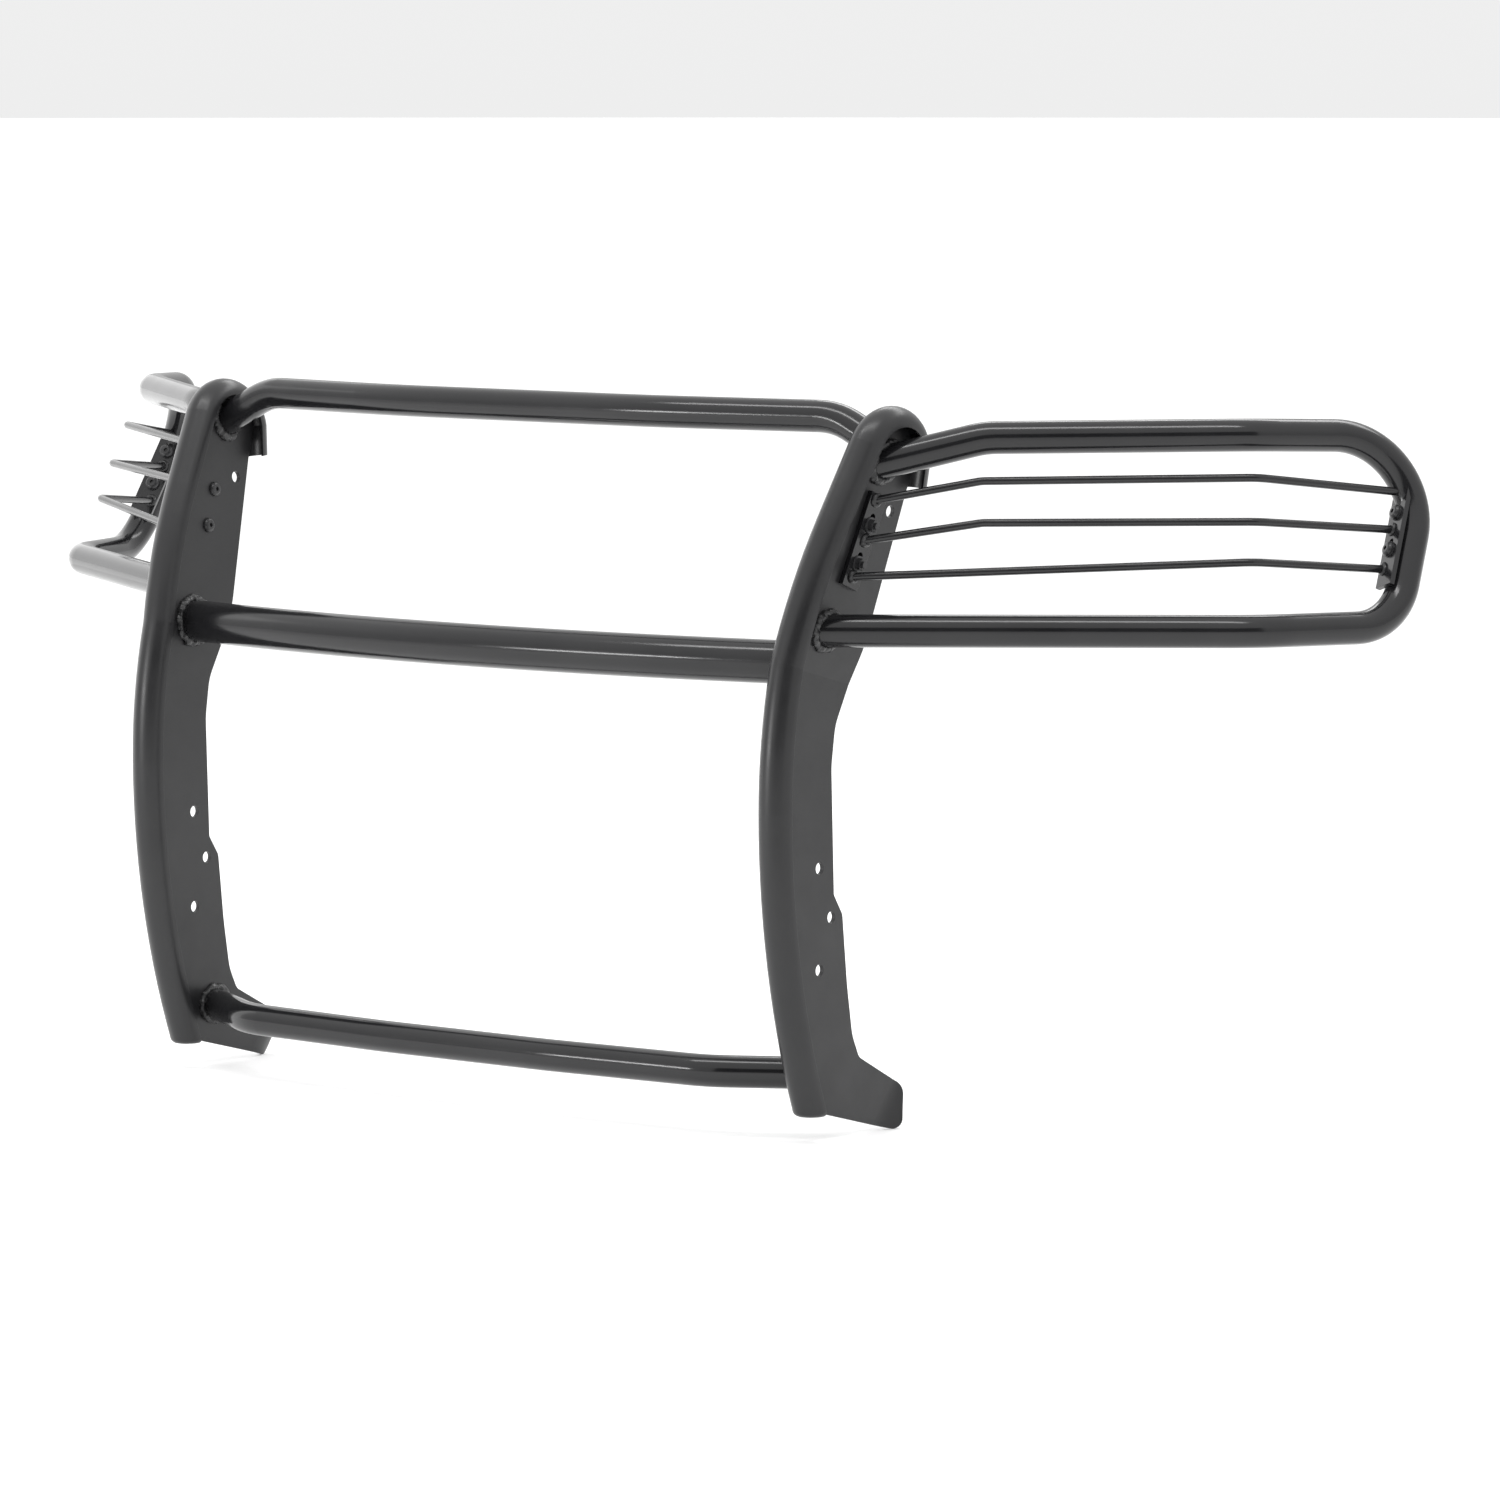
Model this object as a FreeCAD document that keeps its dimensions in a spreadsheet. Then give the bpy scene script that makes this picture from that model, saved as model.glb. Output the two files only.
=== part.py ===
"""Front grille guard for a pickup truck or sport utility vehicle.

Frame: millimetres, +X to the vehicle's left-hand side as seen from the front,
+Y towards the vehicle, +Z up.  The guard's front faces -Y and the plane x = 0
is its plane of symmetry.  The origin is at the bottom centre of the whole guard.

Lengths in the sheet named "up" and "back" are measured from the upper one of the
three lower mounting holes, and "out" from the plane of symmetry.
"""
import FreeCAD, Part
import Sketcher
import math
import os

V = FreeCAD.Vector
X_AXIS = V(1, 0, 0)
Z_AXIS = V(0, 0, 1)

doc = FreeCAD.newDocument("GrilleGuard")

# ---------------------------------------------------------------- sizes
SIZES = {
    # where the origin lies from the upper lower-group mounting hole
    "datum_back": 208.1,
    "datum_up": -317.3,
    # upright plates
    "plate_half_spacing": 488.0,
    "plate_gauge": 5.0,
    "flare_angle": 6.1,
    "flare_slope": 14.0,
    "flare_run": 8.0,
    "mount_hole": 14.3,
    "middle_hole_back": 22.0,
    "middle_hole_drop": 58.5,
    "lower_hole_drop": 118.0,
    "upper_hole_back": 104.0,
    "upper_hole_rise": 408.0,
    # foot of the plate
    "foot_bend_radius": 50.0,
    "foot_bend_back": 103.0,
    "foot_bend_up": -308.0,
    "foot_bend_lean": 38.0,
    "foot_top_back": 157.5,
    "foot_top_up": -269.3,
    "foot_low_back": 140.0,
    "foot_low_up": -319.6,
    "foot_corner": 14.0,
    # half-pipe rails
    "rail_radius": 21.8,
    "rail_wall": 3.0,
    "rail_front": -75.5,
    "rail_front_up": 70.0,
    "rail_lower_radius": 980.0,
    "rail_upper_radius": 670.0,
    "rail_lean": 28.5,
    "rail_bottom_up": -286.0,
    "rail_corner": 8.0,
    "hook_radius": 45.0,
    "hook_up": 464.0,
    "hook_end_up": 431.0,
    "hook_end_lean": 5.0,
    # tubes
    "tube_diameter": 38.1,
    "middle_diameter": 50.8,
    "tube_wall": 2.4,
    "tube_bend": 115.0,
    "loop_low_corner_bend": 80.0,
    "loop_top_corner_bend": 90.0,
    "top_bend": 96.0,
    # crossbars
    "top_end_up": 483.0,
    "top_end_back": 95.0,
    "top_bend_out": 442.0,
    "top_bend_up": 514.0,
    "top_middle_back": 54.0,
    "top_middle_out": 200.0,
    "middle_up": 236.0,
    "middle_end_back": 4.0,
    "middle_bow": 60.0,
    "bottom_up": -242.0,
    "bottom_end_back": 36.0,
    "bottom_bend_out": 359.0,
    "bottom_bend_back": -41.0,
    "bottom_middle_back": -56.0,
    "bottom_middle_out": 130.0,
    # headlight loops
    "loop_low_back": 8.0,
    "loop_low_up": 274.0,
    "loop_low_bend_out": 923.0,
    "loop_low_bend_back": 255.0,
    "loop_low_bend_up": 279.0,
    "loop_low_corner_out": 993.0,
    "loop_low_corner_back": 430.0,
    "loop_low_corner_up": 277.0,
    "loop_top_corner_out": 967.0,
    "loop_top_corner_back": 543.0,
    "loop_top_corner_up": 490.0,
    "loop_top_bend_out": 862.0,
    "loop_top_bend_back": 331.0,
    "loop_top_bend_up": 497.0,
    "loop_top_rise_out": 612.0,
    "loop_top_rise_up": 493.0,
    "loop_top_back": 87.0,
    "loop_top_up": 465.0,
    # bolted inserts
    "rod_diameter": 9.5,
    "rod_bend": 40.0,
    "bar_width": 30.0,
    "bar_gauge": 6.0,
    "slot_width": 9.0,
    "slot_length": 22.0,
    "slot_below_bolt": 3.5,
    "bolt_pitch": 47.0,
    "inner_bar_length": 113.0,
    "inner_bar_back": 54.7,
    "inner_bar_up": 376.7,
    "inner_bar_lean": 21.3,
    "inner_bolt_offset": -4.0,
    "outer_bar_length": 128.0,
    "outer_bar_up": 370.0,
    "outer_bolt_offset": 5.0,
    # fasteners
    "screw_diameter": 8.0,
    "screw_head": 18.0,
    "screw_head_height": 5.0,
    "socket_flats": 5.0,
    "socket_depth": 2.6,
    "inner_screw_length": 22.0,
    "outer_screw_length": 18.0,
    "clearance_hole": 9.0,
    "washer_diameter": 19.0,
    "washer_bore": 8.4,
    "washer_gauge": 1.6,
    "nut_flats": 13.0,
    "nut_height": 6.5,
    "sleeve_diameter": 11.0,
    "sleeve_flange": 15.0,
    "sleeve_flange_gauge": 1.0,
    "sleeve_length": 16.0,
    "weld_size": 5.0,
    "rod_weld_size": 3.0,
}

sheet = doc.addObject("Spreadsheet::Sheet", "Sizes")
for row, (alias, value) in enumerate(SIZES.items(), start=1):
    sheet.set("A%d" % row, alias)
    sheet.set("B%d" % row, str(value))
    sheet.setAlias("B%d" % row, alias)
doc.recompute()


def size(alias):
    """A driving dimension, read back from the sheet."""
    return float(sheet.get(alias))


# ---------------------------------------------------------------- places and directions
GAUGE = size("plate_gauge")
HALF = size("plate_half_spacing")
TUBE_RADIUS = size("tube_diameter") / 2
FAR = 1500.0


def place(out, back, up):
    """A point of the right-hand half, in the guard's frame."""
    return V(out, back - size("datum_back"), up - size("datum_up"))


def turned(vector, axis, degrees):
    return FreeCAD.Rotation(axis, degrees).multVec(vector)


# The plate and rail are bent outboard along a line square to the rail, which climbs
# towards the front and crosses the middle of a short straight run of the rail.
FLARE_SLOPE = math.radians(size("flare_slope"))
FLARE_LINE = V(0, -math.cos(FLARE_SLOPE), math.sin(FLARE_SLOPE))
FLARE_NORMAL = V(0, math.sin(FLARE_SLOPE), math.cos(FLARE_SLOPE))
FLARE_TURN = size("flare_angle")
UPPER_CENTRE = place(HALF, size("rail_front") + size("rail_upper_radius"), size("rail_front_up"))
FLARE_POINT = (UPPER_CENTRE + FLARE_LINE * size("rail_upper_radius")
               + FLARE_NORMAL * (size("flare_run") / 2))


def flare_rotation(degrees):
    """Rotation about the flare line that carries the upper part outboard."""
    trial = turned(FLARE_NORMAL, FLARE_LINE, degrees)
    sign = 1 if trial.x > 0 else -1
    return FreeCAD.Rotation(FLARE_LINE, sign * degrees)


def half_space(point, normal):
    """A large box on the side of a plane that its normal points to."""
    box = Part.makeBox(2 * FAR, 2 * FAR, 2 * FAR, V(-FAR, -FAR, 0))
    box.Placement = FreeCAD.Placement(point, FreeCAD.Rotation(Z_AXIS, normal))
    return box


def flared(flat):
    """Bend a flat right-hand shape outboard at the flare line, with a mitred joint."""
    half_turn = flare_rotation(FLARE_TURN / 2)
    lower_normal = half_turn.multVec(FLARE_NORMAL)
    upper_normal = half_turn.inverted().multVec(FLARE_NORMAL)
    lower = flat.common(half_space(FLARE_POINT, lower_normal * -1))
    upper = flat.common(half_space(FLARE_POINT, upper_normal))
    full_turn = flare_rotation(FLARE_TURN)
    upper.rotate(FLARE_POINT, full_turn.Axis, math.degrees(full_turn.Angle))
    return lower.fuse(upper).removeSplitter()


def flared_point(out, back, up):
    """Where a point of the flat plate is once the plate is flared."""
    point = place(out, back, up)
    arm = point - FLARE_POINT
    if arm.dot(FLARE_NORMAL) <= 0:
        return point
    return FLARE_POINT + flare_rotation(FLARE_TURN).multVec(arm)


# ---------------------------------------------------------------- wires
def route(points, radii):
    """Straight runs whose inner points are rounded by tangent arcs, as a list of edges."""
    edges = []
    start = points[0]
    for before, corner, after, radius in zip(points, points[1:], points[2:], radii):
        if radius == 0:
            edges.append(Part.LineSegment(start, corner).toShape())
            start = corner
            continue
        into = (corner - before).normalize()
        away = (after - corner).normalize()
        turn = into.getAngle(away)
        setback = radius * math.tan(turn / 2)
        first = corner - into * setback
        last = corner + away * setback
        inward = (away - into).normalize()
        centre = corner + inward * (radius / math.cos(turn / 2))
        middle = centre - inward * radius
        edges.append(Part.LineSegment(start, first).toShape())
        edges.append(Part.Arc(first, middle, last).toShape())
        start = last
    edges.append(Part.LineSegment(start, points[-1]).toShape())
    return edges


def rail_edges(offset, drop, over):
    """The rail's centre line moved forward by an offset, as a list of edges.

    It starts a drop below the foot and follows the hook as far as the angle "over",
    which is counted from straight ahead, up and over to the rear.
    """
    lower = size("rail_lower_radius")
    upper = size("rail_upper_radius")
    hook = size("hook_radius")
    lean = math.radians(size("rail_lean"))
    lower_centre = UPPER_CENTRE + V(0, lower - upper, 0)
    below = math.asin((size("rail_front_up") - size("rail_bottom_up") + drop) / (lower + offset))

    def forward(angle):
        return V(0, -math.cos(angle), math.sin(angle))

    def arc(centre, radius, first, last):
        ends = [centre + forward(angle) * (radius + offset)
                for angle in (first, (first + last) / 2, last)]
        return Part.Arc(*ends).toShape()

    past_flare = UPPER_CENTRE + FLARE_NORMAL * size("flare_run")
    climb = V(0, math.sin(lean), math.cos(lean))
    on_curve = past_flare + forward(lean) * upper
    hook_start = on_curve - forward(lean) * hook
    rise = (size("hook_up") - size("datum_up") - hook_start.z) / climb.z
    hook_centre = hook_start + climb * rise
    edges = [arc(lower_centre, lower, -below, 0), arc(UPPER_CENTRE, upper, 0, FLARE_SLOPE)]
    crossing = arc(past_flare, upper, FLARE_SLOPE, lean)
    hooked = arc(hook_centre, hook, lean, math.radians(over))
    for following in (crossing, hooked):
        start = edges[-1].Vertexes[-1].Point
        edges.append(Part.LineSegment(start, following.Vertexes[0].Point).toShape())
        edges.append(following)
    return edges


def rail_path():
    """The rail's centre line from below its foot to the open end of the hook."""
    lean = size("hook_end_lean")
    edges = rail_edges(0, size("rail_radius"), 180 - lean)
    end = edges[-1].Vertexes[-1].Point
    down = turned(V(0, 0, -1), X_AXIS, -lean)
    length = (end.z - size("hook_end_up") + size("datum_up")) / -down.z
    edges.append(Part.LineSegment(end, end + down * length).toShape())
    return Part.Wire(edges)


def channel(path, radius, skirt):
    """A half disc swept along the rail's path, with a flat skirt of some depth behind it."""
    first = path.OrderedEdges[0]
    start = first.valueAt(first.FirstParameter)
    forward = X_AXIS.cross(first.tangentAt(first.FirstParameter)).normalize()
    if forward.y > 0:
        forward = forward * -1
    side = X_AXIS * radius
    back = start - forward * skirt
    arc = Part.Arc(start - side, start + forward * radius, start + side).toShape()
    corners = [start + side, back + side, back - side, start - side]
    if skirt == 0:
        corners = [start + side, start - side]
    profile = Part.Wire([arc] + Part.makePolygon(corners).Edges)
    return path.makePipeShell([profile], True, False)


# ---------------------------------------------------------------- upright
def flat_rail():
    """The rail before the flare: a half pipe with a closed, rounded foot and an open hook end."""
    radius = size("rail_radius")
    wall = size("rail_wall")
    path = rail_path()
    bottom = place(HALF, 0, size("rail_bottom_up"))
    skin = channel(path, radius, 0).common(half_space(bottom, Z_AXIS))
    foot_edges = [edge for edge in skin.Edges
                  if edge.BoundBox.ZMax < bottom.z + 0.01 and edge.BoundBox.YLength > radius / 2]
    skin = skin.makeFillet(size("rail_corner"), foot_edges)
    hollow = channel(path, radius - wall, wall).common(half_space(bottom + Z_AXIS * wall, Z_AXIS))
    return skin.cut(hollow)


# Rear outline of the plate from the hook down to the foot: back, up and corner radius.
REAR_OUTLINE = [
    (131, 431, 30), (77, 250, 120), (29, 163, 60), (22, 116, 90), (27, -33, 8),
    (43, -57, 14), (52, -140, 400), (62, -200, 60), (75, -227, 14),
]
HEEL_BACK = 9.0
PLATE_HOOK_ANGLE = 155.0
EDGE_LAP = 0.5
CURL = 65.0
FOOT_UPWARD = turned(Z_AXIS, X_AXIS, -size("foot_bend_lean"))
FOOT_REARWARD = turned(V(0, 1, 0), X_AXIS, -size("foot_bend_lean"))


def on_curl(back, up):
    """The point of the curled foot's mid-surface that lies behind a given side view point."""
    bend = place(HALF, size("foot_bend_back"), size("foot_bend_up"))
    flat = place(HALF, back, up)
    reach = (flat - bend).dot(FOOT_REARWARD)
    radius = size("foot_bend_radius")
    return flat + X_AXIS * (radius - math.sqrt(radius * radius - reach * reach))


def flat_plate():
    """The plate before the flare, from the hook to the end of its curled foot."""
    wall = size("rail_wall")
    front = rail_edges(size("rail_radius") - wall + EDGE_LAP, EDGE_LAP - wall, PLATE_HOOK_ANGLE)
    corners = [place(HALF, back, up) for back, up, radius in REAR_OUTLINE]
    radii = [radius for back, up, radius in REAR_OUTLINE]
    heel = place(HALF, HEEL_BACK, size("rail_bottom_up"))
    toe = corners[-1]
    bend = place(HALF, size("foot_bend_back"), size("foot_bend_up"))
    top_edge = place(HALF, size("foot_top_back"), size("foot_top_up")) - toe
    low_edge = place(HALF, size("foot_low_back"), size("foot_low_up")) - heel

    def on_bend(start, along):
        return start + along * ((bend - start).dot(FOOT_REARWARD) / along.dot(FOOT_REARWARD))

    points = [front[-1].Vertexes[-1].Point] + corners
    points += [on_bend(toe, top_edge), on_bend(heel, low_edge), heel, front[0].Vertexes[0].Point]
    outline = Part.Wire(front + route(points, radii + [0, 0, 0]))
    flat = Part.Face(outline).extrude(X_AXIS * GAUGE)
    flat.translate(X_AXIS * -GAUGE / 2)
    foot = curled_foot(bend, toe, top_edge, heel, low_edge)
    return flat.fuse(foot).removeSplitter()


def curled_foot(bend, toe, top_edge, heel, low_edge):
    """The rear of the foot, rolled outboard about a leaning line, with two rounded corners."""
    radius = size("foot_bend_radius")
    centre = bend + X_AXIS * radius

    def at(distance, degrees):
        angle = math.radians(degrees)
        return centre + (X_AXIS * -math.cos(angle) + FOOT_REARWARD * math.sin(angle)) * distance

    outer = radius + GAUGE / 2
    inner = radius - GAUGE / 2
    profile = Part.Wire([
        Part.Arc(at(outer, 0), at(outer, CURL / 2), at(outer, CURL)).toShape(),
        Part.LineSegment(at(outer, CURL), at(inner, CURL)).toShape(),
        Part.Arc(at(inner, CURL), at(inner, CURL / 2), at(inner, 0)).toShape(),
        Part.LineSegment(at(inner, 0), at(outer, 0)).toShape(),
    ])
    curl = Part.Face(profile).extrude(FOOT_UPWARD * 400)
    curl.translate(FOOT_UPWARD * -200)
    curl = curl.common(half_space(toe, top_edge.cross(X_AXIS)))
    curl = curl.common(half_space(heel, X_AXIS.cross(low_edge)))
    top_corner = on_curl(size("foot_top_back"), size("foot_top_up"))
    low_corner = on_curl(size("foot_low_back"), size("foot_low_up"))
    middle = (top_corner + low_corner) * 0.5
    inward = centre - middle
    inward = inward - FOOT_UPWARD * inward.dot(FOOT_UPWARD)
    curl = curl.common(half_space(middle, inward.cross(top_corner - low_corner)))

    def at_corner(edge):
        near = [(edge.CenterOfMass - corner).Length < GAUGE for corner in (top_corner, low_corner)]
        return edge.Length < 2 * GAUGE and any(near)

    return curl.makeFillet(size("foot_corner"), [edge for edge in curl.Edges if at_corner(edge)])


def slab(first, last):
    """Everything between two distances from the plate's mid-plane, flared like the plate."""
    box = Part.makeBox(last - first, 2 * FAR, 2 * FAR, V(HALF + first, -FAR, -FAR))
    return flared(box)


def solid_feature(name, shape):
    """A named document object whose shape is formed sheet or a weld bead."""
    feature = doc.addObject("Part::Feature", name)
    feature.Shape = shape
    feature.Label = name
    return feature


def hole_cutter(back, up, diameter):
    """A cylinder through the flared plate, square to it."""
    centre = flared_point(HALF, back, up)
    above = (place(HALF, back, up) - FLARE_POINT).dot(FLARE_NORMAL) > 0
    axis = flare_rotation(FLARE_TURN).multVec(X_AXIS) if above else X_AXIS
    return Part.makeCylinder(diameter / 2, 8 * GAUGE, centre - axis * 4 * GAUGE, axis)


# ---------------------------------------------------------------- insert bar positions
PLATE_OUT = flare_rotation(FLARE_TURN).multVec(X_AXIS)
INNER_BAR_UP = flare_rotation(FLARE_TURN).multVec(turned(Z_AXIS, X_AXIS, -size("inner_bar_lean")))
INNER_BAR = flared_point(HALF, size("inner_bar_back"), size("inner_bar_up")) + PLATE_OUT * (GAUGE / 2)

CORNER_LOW = place(size("loop_low_corner_out"), size("loop_low_corner_back"), size("loop_low_corner_up"))
CORNER_TOP = place(size("loop_top_corner_out"), size("loop_top_corner_back"), size("loop_top_corner_up"))
BEND_LOW = place(size("loop_low_bend_out"), size("loop_low_bend_back"), size("loop_low_bend_up"))
OUTER_BAR_UP = (CORNER_TOP - CORNER_LOW).normalize()
# square to the loop's end tube, facing back towards the plate
OUTER_BAR_IN = (BEND_LOW - CORNER_LOW)
OUTER_BAR_IN = (OUTER_BAR_IN - OUTER_BAR_UP * OUTER_BAR_IN.dot(OUTER_BAR_UP)).normalize()


def on_loop_end(up):
    """The point of the loop's end axis at some height."""
    rise = (place(0, 0, up).z - CORNER_LOW.z) / OUTER_BAR_UP.z
    return CORNER_LOW + OUTER_BAR_UP * rise


OUTER_BAR = (on_loop_end(size("outer_bar_up"))
             + OUTER_BAR_IN * (TUBE_RADIUS + size("sleeve_flange_gauge")))


def bolts(bar):
    """Where a bar's two bolts lie along it, counted from its middle."""
    middle, half = size(bar + "_bolt_offset"), size("bolt_pitch") / 2
    return [middle + half, middle - half]


def seat(origin, up, normal):
    """A placement with local Z along a normal and local Y along a length."""
    return FreeCAD.Placement(origin, FreeCAD.Rotation(up.cross(normal), up, normal, "ZYX"))


# ---------------------------------------------------------------- plates and rails
rail_shape = flared(flat_rail())
plate_shape = flared(flat_plate()).cut(rail_shape)
MOUNT_HOLES = [
    (0, 0),
    (size("middle_hole_back"), -size("middle_hole_drop")),
    (0, -size("lower_hole_drop")),
    (size("upper_hole_back"), size("upper_hole_rise")),
]
for back, up in MOUNT_HOLES:
    plate_shape = plate_shape.cut(hole_cutter(back, up, size("mount_hole")))
for along in bolts("inner"):
    start = INNER_BAR + INNER_BAR_UP * along - PLATE_OUT * 4 * GAUGE
    plate_shape = plate_shape.cut(
        Part.makeCylinder(size("clearance_hole") / 2, 8 * GAUGE, start, PLATE_OUT))

rail = solid_feature("right_rail", rail_shape)
plate = solid_feature("right_upright_plate", plate_shape)

outward_slab = solid_feature("outward_slab", slab(-GAUGE / 2, FAR / 2))
inward_slab = solid_feature("inward_slab", slab(-FAR / 2, GAUGE / 2))
bar_slab = solid_feature("bar_slab", slab(-FAR / 2, GAUGE / 2 + size("bar_gauge")))


# ---------------------------------------------------------------- tubes
def mirrored(source, name):
    """The left-hand copy of a right-hand piece."""
    copy = doc.addObject("Part::Mirroring", name)
    copy.Source = source
    copy.Base = V(0, 0, 0)
    copy.Normal = X_AXIS
    copy.Label = name
    return copy


def bar_along(name, edges, radius_formula):
    """A round solid swept along a spine, its radius bound to the sheet."""
    spine = solid_feature(name + "_spine", Part.Wire(edges))
    section = doc.addObject("Part::Circle", name + "_section")
    section.setExpression("Radius", radius_formula)
    first = edges[0]
    heading = first.tangentAt(first.FirstParameter)
    start = first.valueAt(first.FirstParameter)
    section.Placement = FreeCAD.Placement(start, FreeCAD.Rotation(Z_AXIS, heading))
    sweep = doc.addObject("Part::Sweep", name)
    sweep.Sections = [section]
    sweep.Spine = (spine, ["Edge%d" % (index + 1) for index in range(len(edges))])
    sweep.Solid = True
    sweep.Frenet = False
    sweep.Label = name
    return sweep


def minus(name, base, tool):
    """A boolean cut."""
    cut = doc.addObject("Part::Cut", name)
    cut.Base = base
    cut.Tool = tool
    cut.Label = name
    return cut


def tube(name, edges, diameter, cutters):
    """A hollow tube along a spine with its ends trimmed; gives the tube and its solid outside."""
    outside = bar_along(name + "_outside", edges, "Sizes.%s / 2" % diameter)
    hollow = bar_along(name + "_hollow", edges, "Sizes.%s / 2 - Sizes.tube_wall" % diameter)
    piece = minus(name + "_pipe", outside, hollow)
    for number, cutter in enumerate(cutters):
        last = number == len(cutters) - 1
        piece = minus(name if last else "%s_trim_%d" % (name, number), piece, cutter)
    return piece, outside


left_slab = mirrored(outward_slab, "left_outward_slab")
END_LAP = 30.0


def lapped(points):
    """A path whose first point is moved back so that the end can be trimmed to fit."""
    heading = (points[1] - points[0]).normalize()
    return [points[0] - heading * END_LAP] + points[1:]


def across(points, radii):
    """A right-to-left path from its right-hand points."""
    half = lapped(points)
    other = [V(-point.x, point.y, point.z) for point in reversed(half)]
    return route(half + other, radii + radii[::-1])


top_points = [
    place(HALF + 17, size("top_end_back"), size("top_end_up")),
    place(size("top_bend_out"), size("top_end_back"), size("top_bend_up")),
    place(size("top_middle_out"), size("top_middle_back"), size("top_bend_up")),
]
top_edges = across(top_points, [size("top_bend"), 6 * size("tube_bend")])
top_bar, top_outside = tube("top_crossbar", top_edges, "tube_diameter", [outward_slab, left_slab])

bow = size("middle_bow")
middle_ends = place(HALF, size("middle_end_back"), size("middle_up"))
bow_radius = (HALF * HALF + bow * bow) / (2 * bow)
bow_centre = V(0, middle_ends.y - bow + bow_radius, middle_ends.z)
reach = math.asin((HALF + END_LAP) / bow_radius)
bow_points = [bow_centre + V(math.sin(angle), -math.cos(angle), 0) * bow_radius
              for angle in (reach, 0, -reach)]
middle_edges = [Part.Arc(*bow_points).toShape()]
middle_bar, middle_outside = tube("middle_crossbar", middle_edges, "middle_diameter",
                                  [outward_slab, left_slab])

bottom_points = [
    place(HALF, size("bottom_end_back"), size("bottom_up")),
    place(size("bottom_bend_out"), size("bottom_bend_back"), size("bottom_up")),
    place(size("bottom_middle_out"), size("bottom_middle_back"), size("bottom_up")),
]
bottom_edges = across(bottom_points, [size("tube_bend"), 6 * size("tube_bend")])
bottom_bar, bottom_outside = tube("bottom_crossbar", bottom_edges, "tube_diameter",
                                  [outward_slab, left_slab])

low_start = place(HALF + 11, size("loop_low_back"), size("loop_low_up"))
top_end = place(HALF + 31, size("loop_top_back"), size("loop_top_up"))
top_rise = place(size("loop_top_rise_out"), size("loop_top_back") + 66, size("loop_top_rise_up"))
top_bend = place(size("loop_top_bend_out"), size("loop_top_bend_back"), size("loop_top_bend_up"))
loop_points = lapped([low_start, BEND_LOW, CORNER_LOW, CORNER_TOP, top_bend, top_rise, top_end])
loop_points[-1] = loop_points[-1] + (top_end - top_rise).normalize() * END_LAP
bend = size("tube_bend")
corner_bends = [size("loop_low_corner_bend"), size("loop_top_corner_bend")]
loop_edges = route(loop_points, [bend] + corner_bends + [bend, bend])

sleeve_holes = doc.addObject("Part::Compound", "sleeve_holes")
hole_tools = []
for number, along in enumerate(bolts("outer"), start=1):
    tool = doc.addObject("Part::Cylinder", "sleeve_hole_%d" % number)
    tool.setExpression("Radius", "Sizes.sleeve_diameter / 2")
    tool.setExpression("Height", "Sizes.tube_diameter / 2")
    start = OUTER_BAR + OUTER_BAR_UP * along
    tool.Placement = seat(start, OUTER_BAR_UP, OUTER_BAR_IN * -1)
    hole_tools.append(tool)
sleeve_holes.Links = hole_tools
loop, loop_outside = tube("right_headlight_loop", loop_edges, "tube_diameter",
                          [inward_slab, sleeve_holes])

# ---------------------------------------------------------------- insert rods
ROD_PATHS = {
    "upper": [(520, 70, 422), (617, 139, 444), (885, 307.5, 450), (961, 473, 429)],
    "middle": [(515, 56, 376), (627, 128, 397), (896, 290.5, 401), (965, 460, 386)],
    "lower": [(510, 39, 335), (902, 274.5, 356), (970, 445, 341)],
}
outer_face = solid_feature("outer_bar_face", half_space(
    OUTER_BAR + OUTER_BAR_IN * size("bar_gauge"), OUTER_BAR_IN * -1))
rods = {}
rod_edges = {}
for level, positions in ROD_PATHS.items():
    points = lapped([place(*position) for position in positions])
    points[-1] = points[-1] + (points[-1] - points[-2]).normalize() * END_LAP
    rod_edges[level] = route(points, [size("rod_bend")] * (len(points) - 2))
    name = "right_insert_rod_" + level
    whole = bar_along(name + "_whole", rod_edges[level], "Sizes.rod_diameter / 2")
    rods[level] = minus(name, minus(name + "_trimmed", whole, bar_slab), outer_face)


# ---------------------------------------------------------------- bolted bars
def body_sketch(body, plane, name):
    """A sketch in a body, attached to one of the body's own origin planes."""
    sketch = body.newObject("Sketcher::SketchObject", name)
    support = next(item for item in body.Origin.OriginFeatures if item.Role == plane)
    sketch.AttachmentSupport = [(support, "")]
    sketch.MapMode = "FlatFace"
    return sketch


def draw_outline(sketch, points):
    """A closed polygon whose corners are joined; returns nothing."""
    for first, last in zip(points, points[1:] + points[:1]):
        sketch.addGeometry(Part.LineSegment(V(*first, 0), V(*last, 0)))
    count = len(points)
    for index in range(count):
        sketch.addConstraint(Sketcher.Constraint("Coincident", index, 2, (index + 1) % count, 1))


def centred_rectangle(sketch, width, length):
    """A rectangle centred on the sketch's origin, its two sizes bound to the sheet."""
    half_width, half_length = size(width) / 2, size(length) / 2
    draw_outline(sketch, [(-half_width, -half_length), (half_width, -half_length),
                          (half_width, half_length), (-half_width, half_length)])
    for line in (0, 2):
        sketch.addConstraint(Sketcher.Constraint("Horizontal", line))
    for line in (1, 3):
        sketch.addConstraint(Sketcher.Constraint("Vertical", line))
    sketch.addConstraint(Sketcher.Constraint("Symmetric", 0, 1, 1, 2, -1, 1))
    bind(sketch, Sketcher.Constraint("DistanceX", 0, 1, 0, 2, size(width)), "Sizes." + width)
    bind(sketch, Sketcher.Constraint("DistanceY", 1, 1, 1, 2, size(length)), "Sizes." + length)


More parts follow.
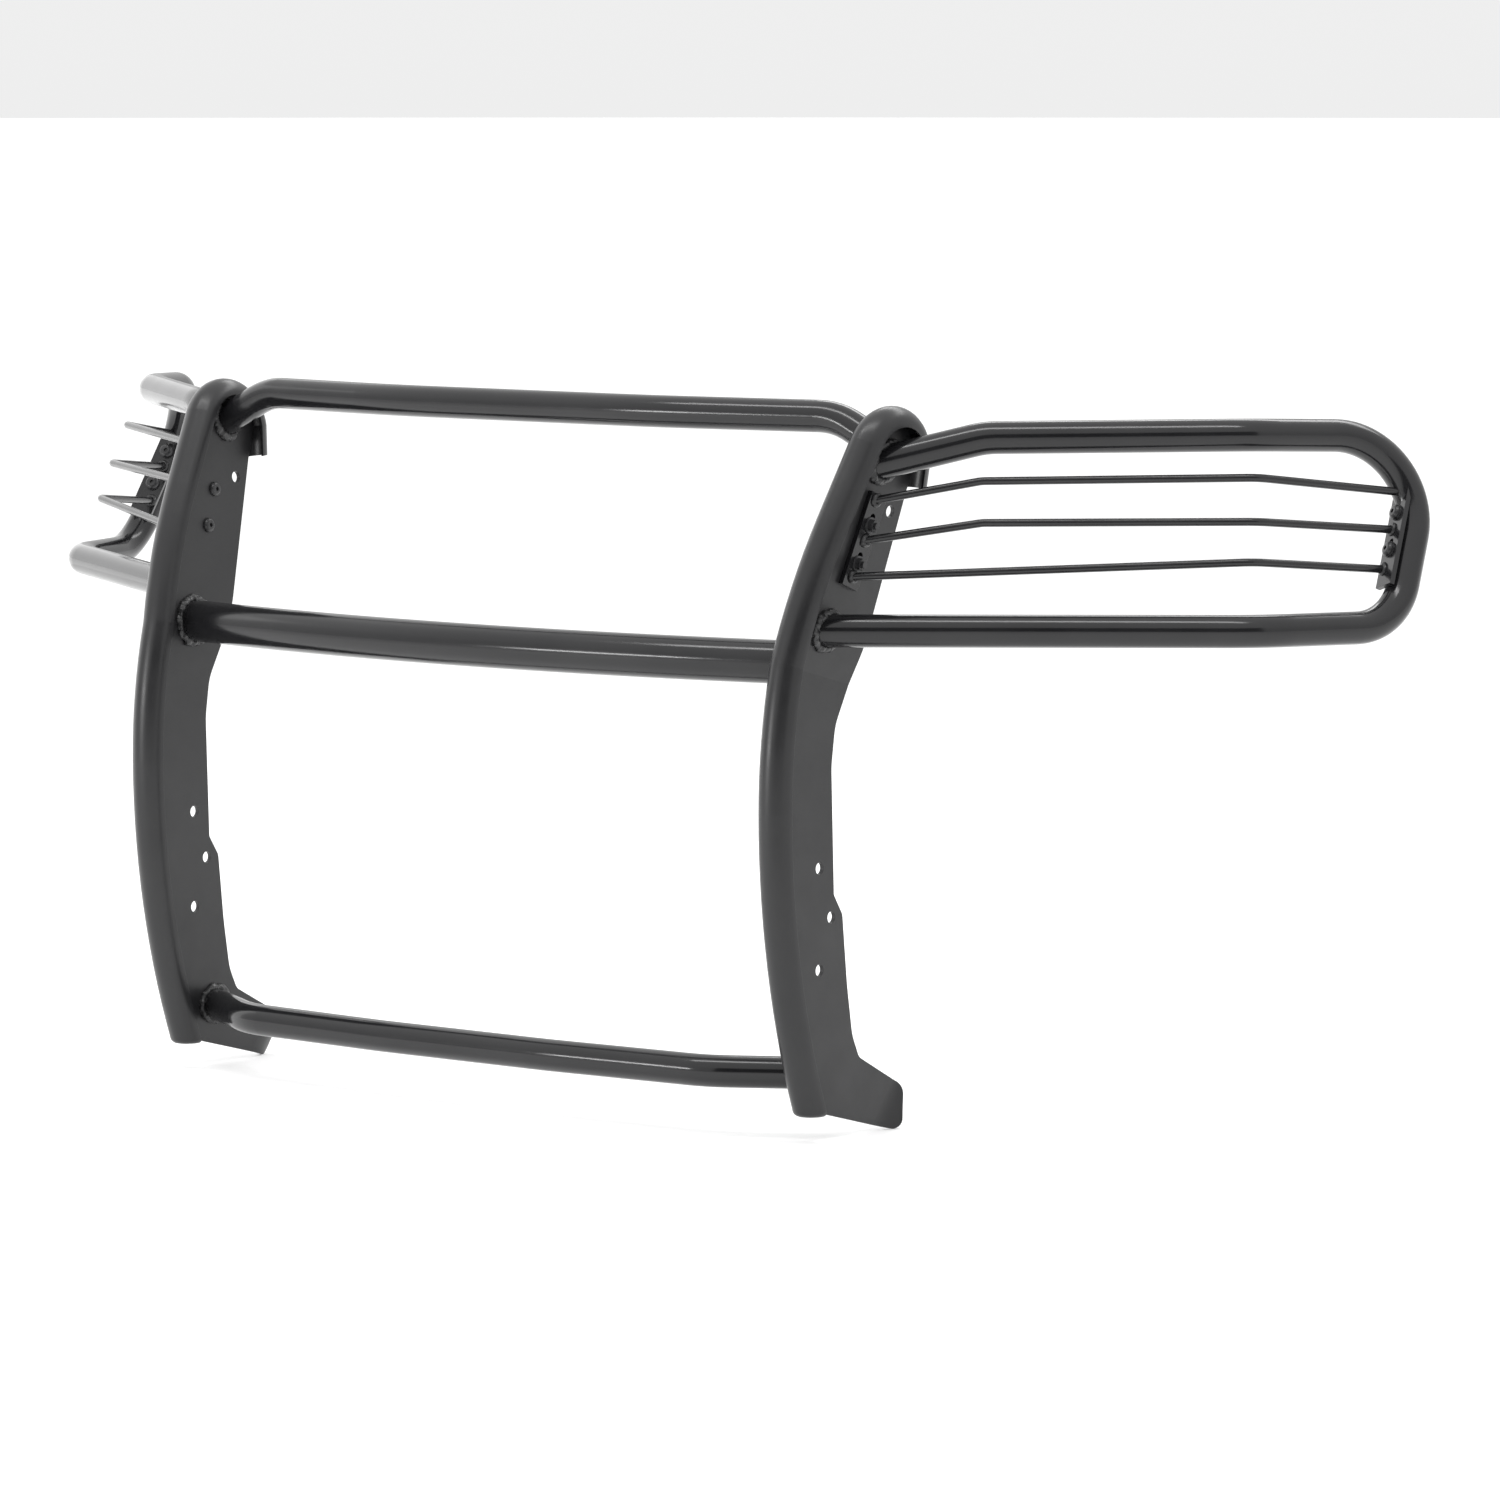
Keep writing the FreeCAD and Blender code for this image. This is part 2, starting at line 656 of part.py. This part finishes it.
def bind(sketch, constraint, formula):
    """Add a dimension to a sketch and tie it to the sheet."""
    index = sketch.addConstraint(constraint)
    sketch.setExpression("Constraints[%d]" % index, formula)


def slot(sketch, bar, sign):
    """The slot of one bolt; its sizes are bound to the sheet."""
    half = size("slot_width") / 2
    run = size("slot_length") - size("slot_width")
    start = "Sizes.%s_bolt_offset %s Sizes.bolt_pitch / 2 - Sizes.slot_below_bolt" % (bar, sign)
    along = bolts(bar)[0 if sign == "+" else 1] - size("slot_below_bolt")
    number = sketch.GeometryCount
    low, high = V(0, along, 0), V(0, along + run, 0)
    sketch.addGeometry(Part.ArcOfCircle(Part.Circle(low, Z_AXIS, half), math.pi, 2 * math.pi))
    sketch.addGeometry(Part.LineSegment(low + V(half, 0, 0), high + V(half, 0, 0)))
    sketch.addGeometry(Part.ArcOfCircle(Part.Circle(high, Z_AXIS, half), 0, math.pi))
    sketch.addGeometry(Part.LineSegment(high - V(half, 0, 0), low - V(half, 0, 0)))
    joints = [(0, 2, 1, 1), (1, 2, 2, 1), (2, 2, 3, 1), (3, 2, 0, 1)]
    for first, first_end, last, last_end in joints:
        sketch.addConstraint(Sketcher.Constraint(
            "Tangent", number + first, first_end, number + last, last_end))
    sketch.addConstraint(Sketcher.Constraint("Vertical", number + 1))
    sketch.addConstraint(Sketcher.Constraint("PointOnObject", number, 3, -2))
    bind(sketch, Sketcher.Constraint("Radius", number, half), "Sizes.slot_width / 2")
    bind(sketch, Sketcher.Constraint("DistanceY", number, 3, number + 2, 3, run),
         "Sizes.slot_length - Sizes.slot_width")
    if along > 0:
        bind(sketch, Sketcher.Constraint("DistanceY", -1, 1, number, 3, along), start)
    else:
        bind(sketch, Sketcher.Constraint("DistanceY", number, 3, -1, 1, -along), "-(%s)" % start)


def slotted_bar(name, bar, placement):
    """A flat bar with two adjusting slots, local Z out of its seat and local Y along it."""
    body = doc.addObject("PartDesign::Body", name)
    outline = body_sketch(body, "XY_Plane", name + "_outline")
    centred_rectangle(outline, "bar_width", bar + "_bar_length")
    pad = body.newObject("PartDesign::Pad", name + "_pad")
    pad.Profile = outline
    pad.setExpression("Length", "Sizes.bar_gauge")
    slots = body_sketch(body, "XY_Plane", name + "_slots")
    for sign in "+-":
        slot(slots, bar, sign)
    pocket = body.newObject("PartDesign::Pocket", name + "_pocket")
    pocket.Profile = slots
    pocket.Type = "ThroughAll"
    pocket.Midplane = True
    body.Tip = pocket
    body.Placement = placement
    body.Label = name
    return body


inner_bar = slotted_bar("right_insert_inner_bracket", "inner",
                        seat(INNER_BAR, INNER_BAR_UP, PLATE_OUT))
outer_bar = slotted_bar("right_insert_outer_bracket", "outer",
                        seat(OUTER_BAR, OUTER_BAR_UP, OUTER_BAR_IN))


# ---------------------------------------------------------------- fasteners
def screw(name, length, placement):
    """A flanged button-head screw; local Z runs from under its head along the shank."""
    body = doc.addObject("PartDesign::Body", name)
    half = body_sketch(body, "XZ_Plane", name + "_half_section")
    shank, head = size("screw_diameter") / 2, size("screw_head") / 2
    height, reach = size("screw_head_height"), size(length)
    crown, rim = 0.5 * head, 0.3 * height
    middle = V(0.87 * head, -0.72 * height, 0)
    half.addGeometry(Part.LineSegment(V(0, reach, 0), V(shank, reach, 0)))
    half.addGeometry(Part.LineSegment(V(shank, reach, 0), V(shank, 0, 0)))
    half.addGeometry(Part.LineSegment(V(shank, 0, 0), V(head, 0, 0)))
    half.addGeometry(Part.LineSegment(V(head, 0, 0), V(head, -rim, 0)))
    half.addGeometry(Part.Arc(V(head, -rim, 0), middle, V(crown, -height, 0)))
    half.addGeometry(Part.LineSegment(V(crown, -height, 0), V(0, -height, 0)))
    half.addGeometry(Part.LineSegment(V(0, -height, 0), V(0, reach, 0)))
    turn = body.newObject("PartDesign::Revolution", name + "_turned")
    turn.Profile = half
    turn.ReferenceAxis = (half, ["V_Axis"])
    turn.Angle = 360
    socket = body_sketch(body, "XY_Plane", name + "_socket")
    socket.AttachmentOffset = FreeCAD.Placement(V(0, 0, -height), FreeCAD.Rotation())
    corner_radius = size("socket_flats") / math.sqrt(3)
    draw_outline(socket, [(corner_radius * math.cos(math.radians(60 * k)),
                           corner_radius * math.sin(math.radians(60 * k))) for k in range(6)])
    pocket = body.newObject("PartDesign::Pocket", name + "_hex")
    pocket.Profile = socket
    pocket.setExpression("Length", "Sizes.socket_depth")
    pocket.Reversed = True
    body.Tip = pocket
    body.Placement = placement
    return body


def cylinder(name, radius, height, placement):
    """A cylinder whose radius and height are formulas of the sheet."""
    item = doc.addObject("Part::Cylinder", name)
    item.setExpression("Radius", radius)
    item.setExpression("Height", height)
    item.Placement = placement
    return item


def washer(name, placement):
    """A plain washer, local Z from its lower face."""
    gauge = "Sizes.washer_gauge"
    disc = cylinder(name + "_disc", "Sizes.washer_diameter / 2", gauge, placement)
    return minus(name, disc, cylinder(name + "_bore", "Sizes.washer_bore / 2", gauge, placement))


def nut(name, placement):
    """A plain hexagon nut, local Z from its lower face."""
    prism = doc.addObject("Part::Prism", name + "_prism")
    prism.Polygon = 6
    prism.setExpression("Circumradius", "Sizes.nut_flats / 1.7320508")
    prism.setExpression("Height", "Sizes.nut_height")
    prism.Placement = placement
    bore = cylinder(name + "_bore", "Sizes.screw_diameter / 2", "Sizes.nut_height", placement)
    return minus(name, prism, bore)


def sleeve(name, placement):
    """A flanged threaded sleeve, local Z from its flange into the tube."""
    flange = cylinder(name + "_flange", "Sizes.sleeve_flange / 2", "Sizes.sleeve_flange_gauge",
                      placement)
    barrel = cylinder(name + "_barrel", "Sizes.sleeve_diameter / 2", "Sizes.sleeve_length",
                      placement)
    whole = doc.addObject("Part::Fuse", name + "_whole")
    whole.Base = flange
    whole.Tool = barrel
    return minus(name, whole, cylinder(name + "_bore", "Sizes.screw_diameter / 2",
                                       "Sizes.sleeve_length", placement))


def group(name, items):
    """Identical fasteners as one piece made of separate solids."""
    compound = doc.addObject("Part::Compound", name)
    compound.Links = items
    compound.Label = name
    return compound


def per_bolt(name, bar, make, origin, up, normal):
    """One fastener at each of a bar's two bolts."""
    items = []
    for number, along in enumerate(bolts(bar), start=1):
        items.append(make("%s_%d" % (name, number), seat(origin + up * along, up, normal)))
    return group(name, items)


over_bar = INNER_BAR + PLATE_OUT * size("bar_gauge")
over_washer = over_bar + PLATE_OUT * size("washer_gauge")
front_of_bar = OUTER_BAR + OUTER_BAR_IN * size("bar_gauge")
front_of_washer = front_of_bar + OUTER_BAR_IN * size("washer_gauge")
tube_side = OUTER_BAR_IN * -1
fasteners = [
    per_bolt("right_inner_screws", "inner", lambda name, spot: screw(name, "inner_screw_length", spot),
             INNER_BAR - PLATE_OUT * GAUGE, INNER_BAR_UP, PLATE_OUT),
    per_bolt("right_inner_washers", "inner", washer, over_bar, INNER_BAR_UP, PLATE_OUT),
    per_bolt("right_inner_nuts", "inner", nut, over_washer, INNER_BAR_UP, PLATE_OUT),
    per_bolt("right_outer_screws", "outer", lambda name, spot: screw(name, "outer_screw_length", spot),
             front_of_washer, OUTER_BAR_UP, tube_side),
    per_bolt("right_outer_washers", "outer", washer, front_of_bar, OUTER_BAR_UP, OUTER_BAR_IN),
    per_bolt("right_threaded_sleeves", "outer", sleeve, OUTER_BAR, OUTER_BAR_UP, tube_side),
]


# ---------------------------------------------------------------- welds
UPPER_IN = (FLARE_POINT - PLATE_OUT * (GAUGE / 2), PLATE_OUT)
UPPER_OUT = (FLARE_POINT + PLATE_OUT * (GAUGE / 2), PLATE_OUT)
LOWER_IN = (place(HALF - GAUGE / 2, 0, 0), X_AXIS)
INNER_BAR_FACE = (over_bar, PLATE_OUT)
OUTER_BAR_FACE = (front_of_bar, OUTER_BAR_IN)


def bead(name, start, heading, face, radius, thickness, obstacles):
    """A round weld bead where a tube or rod of some radius meets a flat face."""
    point, normal = face
    slant = heading.dot(normal)
    centre = start + heading * ((point - start).dot(normal) / slant)
    major = (heading - normal * slant).normalize()
    minor = normal.cross(major)
    ring = Part.Ellipse(centre + major * (radius / abs(slant)), centre + minor * radius, centre)
    profile = Part.Wire(Part.Circle(centre + major * (radius / abs(slant)), minor, thickness).toShape())
    shape = Part.Wire(ring.toShape()).makePipeShell([profile], True, True)
    for obstacle in obstacles:
        shape = shape.cut(obstacle.Shape)
    return solid_feature(name, shape)


def start_of(edges):
    first = edges[0]
    return first.valueAt(first.FirstParameter), first.tangentAt(first.FirstParameter)


def end_of(edges):
    last = edges[-1]
    return last.valueAt(last.LastParameter), last.tangentAt(last.LastParameter)


doc.recompute()
weld = size("weld_size")
middle_radius = size("middle_diameter") / 2
middle_at_plate = [middle_edges[0].valueAt(middle_edges[0].FirstParameter),
                   middle_edges[0].tangentAt(middle_edges[0].FirstParameter)]
crossbar_welds = []
for name, line, face, radius, outside in [
        ("top", start_of(top_edges), UPPER_IN, TUBE_RADIUS, top_outside),
        ("middle", middle_at_plate, UPPER_IN, middle_radius, middle_outside),
        ("bottom", start_of(bottom_edges), LOWER_IN, TUBE_RADIUS, bottom_outside)]:
    crossbar_welds.append(bead("right_%s_crossbar_weld" % name, line[0], line[1], face, radius,
                               weld, [outward_slab, rail, outside]))

loop_beads = [
    bead("loop_weld_" + end, line[0], line[1], UPPER_OUT, TUBE_RADIUS, weld,
         [inward_slab, rail, loop_outside])
    for end, line in (("low", start_of(loop_edges)), ("top", end_of(loop_edges)))]
loop_welds = group("right_loop_welds", loop_beads)

rod_beads = {"inner": [], "outer": []}
for level, edges in rod_edges.items():
    whole = doc.getObject("right_insert_rod_%s_whole" % level)
    for end, line, face, cutter in (
            ("inner", start_of(edges), INNER_BAR_FACE, bar_slab),
            ("outer", end_of(edges), OUTER_BAR_FACE, outer_face)):
        rod_beads[end].append(bead("rod_weld_%s_%s" % (level, end), line[0], line[1], face,
                                   size("rod_diameter") / 2, size("rod_weld_size"),
                                   [cutter, whole]))
rod_welds = [group("right_insert_%s_welds" % end, beads) for end, beads in rod_beads.items()]

# ---------------------------------------------------------------- all pieces
right_hand = ([plate, rail, loop, inner_bar, outer_bar, loop_welds]
              + crossbar_welds + rod_welds + list(rods.values()) + fasteners)
pieces = [top_bar, middle_bar, bottom_bar] + right_hand
for piece in right_hand:
    pieces.append(mirrored(piece, "left_" + piece.Label[len("right_"):]))

doc.recompute()
for item in doc.Objects:
    if "Invalid" in item.State or "Error" in item.State:
        raise RuntimeError("%s did not build: %s" % (item.Label, item.State))

os.makedirs("parts", exist_ok=True)
for piece in pieces:
    shape = piece.Shape
    if shape.isNull() or not shape.isValid() or not shape.Solids:
        raise RuntimeError("%s has no valid solid" % piece.Label)
    shape.exportStep(os.path.join("parts", piece.Label + ".step"))
print("pieces:", len(pieces))
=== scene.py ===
"""The looks of the front grille guard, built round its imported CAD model."""

import math

import bmesh
import bpy
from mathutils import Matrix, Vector, noise


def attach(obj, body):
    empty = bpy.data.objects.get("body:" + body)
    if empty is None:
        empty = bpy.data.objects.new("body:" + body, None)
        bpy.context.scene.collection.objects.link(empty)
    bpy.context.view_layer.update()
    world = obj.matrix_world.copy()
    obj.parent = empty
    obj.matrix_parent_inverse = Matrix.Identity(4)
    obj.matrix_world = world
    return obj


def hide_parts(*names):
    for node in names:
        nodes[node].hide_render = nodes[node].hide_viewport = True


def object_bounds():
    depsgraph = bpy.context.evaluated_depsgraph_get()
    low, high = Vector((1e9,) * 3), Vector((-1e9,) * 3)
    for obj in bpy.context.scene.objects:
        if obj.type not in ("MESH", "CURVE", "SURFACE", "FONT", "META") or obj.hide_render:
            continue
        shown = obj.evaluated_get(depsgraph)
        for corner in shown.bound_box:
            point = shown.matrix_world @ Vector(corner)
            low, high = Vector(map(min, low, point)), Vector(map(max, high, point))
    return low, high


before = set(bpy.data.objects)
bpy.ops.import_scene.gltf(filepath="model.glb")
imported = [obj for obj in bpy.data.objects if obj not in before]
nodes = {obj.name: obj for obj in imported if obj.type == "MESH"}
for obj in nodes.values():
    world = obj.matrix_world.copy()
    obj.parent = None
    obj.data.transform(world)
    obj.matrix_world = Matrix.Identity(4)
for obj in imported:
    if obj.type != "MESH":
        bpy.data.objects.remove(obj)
cad_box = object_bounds()
low, high = cad_box

MM = 0.001


# ---------------------------------------------------------------- materials


class Nodes:
    """A small helper round one material's node tree."""

    def __init__(self, name):
        self.material = bpy.data.materials.new(name)
        self.material.use_nodes = True
        self.tree = self.material.node_tree
        self.shader = self.tree.nodes["Principled BSDF"]
        self.place = self.add("ShaderNodeTexCoord").outputs["Object"]

    def add(self, kind, **values):
        node = self.tree.nodes.new(kind)
        for key, value in values.items():
            if hasattr(node, key):
                setattr(node, key, value)
            else:
                node.inputs[key.replace("_", " ")].default_value = value
        return node

    def link(self, out, into):
        self.tree.links.new(out, into)

    def noise(self, scale, detail=3.0, roughness=0.5):
        node = self.add("ShaderNodeTexNoise", Scale=scale, Detail=detail, Roughness=roughness)
        self.link(self.place, node.inputs["Vector"])
        return node.outputs["Fac"]

    def ramp(self, value, low_end, high_end, first, second):
        """Colours running from first to second as value goes from low_end to high_end."""
        node = self.add("ShaderNodeValToRGB")
        ends = node.color_ramp.elements
        ends[0].position, ends[1].position = low_end, high_end
        ends[0].color, ends[1].color = (*first, 1), (*second, 1)
        self.link(value, node.inputs["Fac"])
        return node.outputs["Color"]

    def spread(self, value, low_end, high_end, to_low, to_high):
        node = self.add("ShaderNodeMapRange")
        for socket, number in zip(
            ("From Min", "From Max", "To Min", "To Max"), (low_end, high_end, to_low, to_high)
        ):
            node.inputs[socket].default_value = number
        self.link(value, node.inputs["Value"])
        return node.outputs["Result"]

    def bump(self, height, strength, distance, under=None):
        node = self.add("ShaderNodeBump", Strength=strength, Distance=distance)
        self.link(height, node.inputs["Height"])
        if under is not None:
            self.link(under, node.inputs["Normal"])
        return node.outputs["Normal"]

    def soft_edges(self, radius):
        """Rounds sharp edges in the shading, as a coat of paint does."""
        node = self.add("ShaderNodeBevel", samples=4, Radius=radius)
        return node.outputs["Normal"]

    def finish(self, colour, roughness, normal):
        self.link(colour, self.shader.inputs["Base Color"])
        self.link(roughness, self.shader.inputs["Roughness"])
        self.link(normal, self.shader.inputs["Normal"])
        return self.material


def powder_coat(name, dark, light, gloss, edge, peel=0.03):
    """Black powder coat: orange peel, slow waviness and slightly uneven gloss."""
    m = Nodes(name)
    m.shader.inputs["Specular IOR Level"].default_value = 0.5
    colour = m.ramp(m.noise(9.0, 4.0), 0.35, 0.65, dark, light)
    patches = m.spread(m.noise(24.0, 5.0, 0.6), 0.3, 0.7, gloss[0], gloss[1])
    normal = m.soft_edges(edge)
    normal = m.bump(m.noise(30.0, 1.0), 0.02, 0.6 * MM, normal)
    normal = m.bump(m.noise(650.0, 2.0), peel, 0.12 * MM, normal)
    return m.finish(colour, patches, normal)


def weld_coat(name):
    """Paint over a hand-run weld: ripples and spatter under the same coat."""
    m = Nodes(name)
    colour = m.ramp(m.noise(160.0, 4.0), 0.35, 0.7, (0.012, 0.012, 0.013), (0.035, 0.035, 0.036))
    gloss = m.spread(m.noise(300.0, 3.0), 0.3, 0.7, 0.22, 0.42)
    normal = m.bump(m.noise(420.0, 4.0, 0.6), 0.55, 0.7 * MM)
    return m.finish(colour, gloss, normal)


def plated(name, dark, light, gloss, metallic):
    """Plated steel: fine grain, with the colour a little uneven."""
    m = Nodes(name)
    m.shader.inputs["Metallic"].default_value = metallic
    colour = m.ramp(m.noise(120.0, 5.0, 0.6), 0.35, 0.65, dark, light)
    roughness = m.spread(m.noise(500.0, 3.0), 0.3, 0.7, gloss[0], gloss[1])
    normal = m.bump(m.noise(1400.0, 2.0), 0.12, 0.08 * MM, m.soft_edges(0.35 * MM))
    return m.finish(colour, roughness, normal)


TUBE = powder_coat(
    "tube_powder_coat", (0.008, 0.008, 0.009), (0.012, 0.012, 0.013), (0.13, 0.19), 0.4 * MM
)
RAIL = powder_coat(
    "rail_powder_coat", (0.010, 0.010, 0.011), (0.015, 0.015, 0.016), (0.28, 0.36), 0.6 * MM
)
PLATE = powder_coat(
    "plate_powder_coat", (0.010, 0.010, 0.011), (0.015, 0.015, 0.016), (0.36, 0.46), 0.8 * MM, 0.06
)
INSERT = powder_coat(
    "insert_powder_coat", (0.008, 0.008, 0.009), (0.013, 0.013, 0.014), (0.16, 0.24), 0.5 * MM
)
WELD = weld_coat("weld_powder_coat")
BLACK_BOLT = plated("black_zinc", (0.012, 0.012, 0.013), (0.03, 0.03, 0.032), (0.25, 0.4), 0.0)
WASHER = plated("black_zinc_washer", (0.04, 0.04, 0.042), (0.075, 0.075, 0.078), (0.25, 0.4), 0.5)
ZINC = plated("bright_zinc", (0.35, 0.36, 0.37), (0.5, 0.5, 0.5), (0.22, 0.38), 1.0)


def finish_for(name):
    """The material of a CAD node that stays."""
    if "crossbar" in name or "loop" in name:
        return TUBE
    if name.endswith("rail"):
        return RAIL
    if "plate" in name:
        return PLATE
    if "washers" in name:
        return WASHER
    if "screws" in name or "nuts" in name:
        return BLACK_BOLT
    if "sleeves" in name:
        return ZINC
    return INSERT


def dress(obj, material):
    """Puts one material in every slot of an object."""
    if not obj.material_slots:
        obj.data.materials.append(material)
    for place in obj.material_slots:
        place.material = material


# ---------------------------------------------------------------- weld beads


# voxel and lump size of the beads round the rods and round the tubes
ROD_BEAD = (0.6 * MM, 1.5 * MM)
TUBE_BEAD = (0.8 * MM, 4.2 * MM)


def lump(point, size):
    """How far a bead of some size stands proud of the smooth fillet at a point."""
    swell = noise.noise(point * 150.0)
    ripple = noise.noise(point * 380.0 + Vector((7.0, 3.0, 1.0)))
    spatter = max(0.0, noise.noise(point * 260.0 + Vector((2.0, 9.0, 4.0))) - 0.25)
    return size * (0.3 + 0.5 * swell + 0.14 * ripple + 0.8 * spatter)


def weld_piece(node, voxel, size):
    """A hand-run bead in place of the CAD's smooth one."""
    source = bmesh.new()
    source.from_mesh(nodes[node].data)
    bmesh.ops.remove_doubles(source, verts=source.verts, dist=1e-6)
    mesh = bpy.data.meshes.new(node + "_bead")
    source.to_mesh(mesh)
    source.free()
    piece = bpy.data.objects.new(node + "_bead", mesh)
    bpy.context.scene.collection.objects.link(piece)
    remesh = piece.modifiers.new("cells", "REMESH")
    remesh.mode = "VOXEL"
    remesh.voxel_size = voxel
    graph = bpy.context.evaluated_depsgraph_get()
    cells = bpy.data.meshes.new_from_object(piece.evaluated_get(graph))
    piece.modifiers.clear()
    piece.data = cells
    cells.name = node + "_bead"
    bead = bmesh.new()
    bead.from_mesh(cells)
    bmesh.ops.smooth_vert(
        bead, verts=bead.verts, factor=0.5, use_axis_x=True, use_axis_y=True, use_axis_z=True
    )
    bead.normal_update()
    moves = [vertex.normal * lump(vertex.co, size) for vertex in bead.verts]
    for vertex, move in zip(bead.verts, moves):
        vertex.co += move
    bead.to_mesh(cells)
    bead.free()
    for face in cells.polygons:
        face.use_smooth = True
    cells.materials.clear()
    cells.materials.append(WELD)
    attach(piece, "root")
    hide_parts(node)


for name in sorted(nodes):
    if "weld" in name:
        weld_piece(name, *(ROD_BEAD if "insert" in name else TUBE_BEAD))
    else:
        dress(nodes[name], finish_for(name))


# ---------------------------------------------------------------- the studio

centre = (low + high) / 2
AZIMUTH, ELEVATION = 38.41, 5.73
FLOOR_RADIUS = 90.0
FLAG_STEPS = 24
bpy.context.scene.view_settings.view_transform = "Standard"


def floor():
    """A wide pale disc just under the lowest point."""
    mesh = bpy.data.meshes.new("floor")
    grid = bmesh.new()
    bmesh.ops.create_circle(grid, cap_ends=True, radius=FLOOR_RADIUS, segments=96)
    bmesh.ops.translate(grid, verts=grid.verts, vec=(0, 0, low.z - 0.2 * MM))
    grid.to_mesh(mesh)
    grid.free()
    piece = bpy.data.objects.new("floor", mesh)
    bpy.context.scene.collection.objects.link(piece)
    m = Nodes("pale_floor")
    m.shader.inputs["Specular IOR Level"].default_value = 0.0
    m.shader.inputs["Emission Color"].default_value = (1, 1, 1, 1)
    m.shader.inputs["Emission Strength"].default_value = 0.12
    colour = m.ramp(m.noise(3.0, 2.0), 0.3, 0.7, (0.93, 0.93, 0.93), (0.96, 0.96, 0.96))
    dullness = m.spread(m.noise(40.0), 0.3, 0.7, 0.8, 0.95)
    mesh.materials.append(m.finish(colour, dullness, m.bump(m.noise(60.0), 0.05, MM)))


def dark_flag(azimuth, spread, distance, bottom, top):
    """A curved black screen behind the camera, seen only in the gloss of the tubes."""
    mesh = bpy.data.meshes.new("dark_flag")
    sheet = bmesh.new()
    columns = []
    for step in range(FLAG_STEPS + 1):
        turn = math.radians(azimuth + spread * (2 * step / FLAG_STEPS - 1))
        foot = centre + Vector((math.sin(turn), -math.cos(turn), 0)) * distance
        columns.append([sheet.verts.new((foot.x, foot.y, z)) for z in (bottom, top)])
    for (a, b), (c, d) in zip(columns, columns[1:]):
        sheet.faces.new((a, b, d, c))
    sheet.to_mesh(mesh)
    sheet.free()
    piece = bpy.data.objects.new("dark_flag", mesh)
    bpy.context.scene.collection.objects.link(piece)
    m = Nodes("black_cloth")
    colour = m.ramp(m.noise(2.0), 0.3, 0.7, (0.01, 0.01, 0.01), (0.02, 0.02, 0.02))
    dullness = m.spread(m.noise(9.0), 0.3, 0.7, 0.8, 0.95)
    mesh.materials.append(m.finish(colour, dullness, m.bump(m.noise(30.0), 0.1, MM)))
    piece.visible_camera = False
    piece.visible_diffuse = False
    piece.visible_shadow = False


def softbox(name, toward, distance, size, power):
    """An area light seen from the object's middle in the direction toward."""
    data = bpy.data.lights.new(name, "AREA")
    data.shape = "RECTANGLE"
    data.size, data.size_y = size
    data.energy = power
    light = bpy.data.objects.new(name, data)
    bpy.context.scene.collection.objects.link(light)
    light.location = centre + Vector(toward).normalized() * distance
    light.rotation_euler = (centre - light.location).to_track_quat("-Z", "Y").to_euler()
    light.visible_camera = False


def surround():
    """A pale studio, a little brighter overhead."""
    world = bpy.data.worlds.new("studio")
    bpy.context.scene.world = world
    world.use_nodes = True
    tree = world.node_tree
    out = tree.nodes["Background"]
    direction = tree.nodes.new("ShaderNodeTexCoord")
    split = tree.nodes.new("ShaderNodeSeparateXYZ")
    ramp = tree.nodes.new("ShaderNodeValToRGB")
    span = tree.nodes.new("ShaderNodeMapRange")
    span.inputs["From Min"].default_value = -1.0
    span.inputs["From Max"].default_value = 1.0
    tree.links.new(direction.outputs["Generated"], split.inputs["Vector"])
    tree.links.new(split.outputs["Z"], span.inputs["Value"])
    tree.links.new(span.outputs["Result"], ramp.inputs["Fac"])
    tree.links.new(ramp.outputs["Color"], out.inputs["Color"])
    stops = ((0.0, 0.6), (0.5, 1.0), (0.6, 1.0), (0.75, 1.25), (1.0, 1.4))
    elements = ramp.color_ramp.elements
    while len(elements) < len(stops):
        elements.new(0.5)
    for element, (position, grey) in zip(elements, stops):
        element.position = position
        element.color = (grey, grey, grey, 1)
    out.inputs["Strength"].default_value = 0.86


floor()
surround()
dark_flag(AZIMUTH, 30.0, 13.0, 0.9, 7.0)
softbox("overhead", (0.1, -0.35, 1.0), 3.2, (3.4, 0.4), 34)
softbox("overhead_back", (0.0, 0.9, 1.0), 3.4, (3.6, 0.6), 30)
softbox("front_left", (-0.42, -1.0, 0.12), 4.4, (1.3, 0.35), 26)
softbox("left", (-1.0, 0.15, 0.1), 4.0, (4.4, 4.4), 44)


# ---------------------------------------------------------------- the camera

camera_data = bpy.data.cameras.new("camera")
camera_data.lens = 174.0
camera_data.sensor_width = 36.0
camera_data.clip_end = 500.0
camera = bpy.data.objects.new("camera", camera_data)
bpy.context.scene.collection.objects.link(camera)
camera.location = (5.570, -6.7433, 1.2848)
camera.rotation_euler = (math.radians(90 - ELEVATION), 0, math.radians(AZIMUTH))
bpy.context.scene.camera = camera
